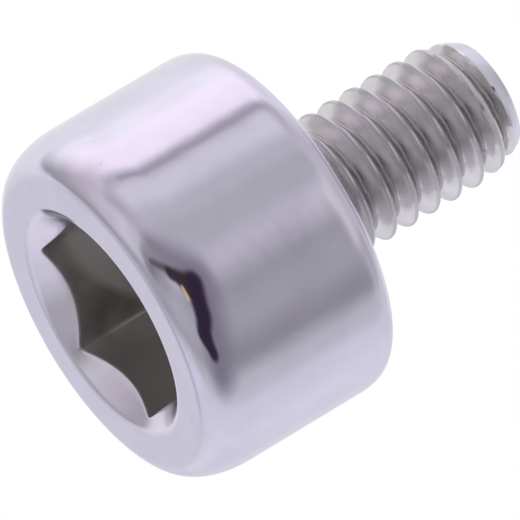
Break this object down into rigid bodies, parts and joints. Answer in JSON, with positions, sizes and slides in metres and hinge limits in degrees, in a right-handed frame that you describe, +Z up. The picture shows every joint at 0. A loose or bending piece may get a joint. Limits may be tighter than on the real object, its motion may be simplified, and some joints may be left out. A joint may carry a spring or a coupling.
{
  "type": "socket head cap screw",
  "caption": "Short socket head cap screw: polished round head with a countersunk hexagon socket, flat bearing ring and a right-hand machine thread up to a short neck.",
  "frame": {"origin": "centre of the socket face of the head, which the screw stands on", "axes": "+Z up the screw's axis from the socket face to the tip of the thread; two corners of the hexagon socket lie on the Y axis"},
  "size_m": [0.0098, 0.0098, 0.0124],
  "materials": {
    "polished_steel": "mirror-polished head, satin rolled thread"
  },
  "bodies": {
    "root": {"cap_screw": "polished_steel"}
  },
  "joints": []
}
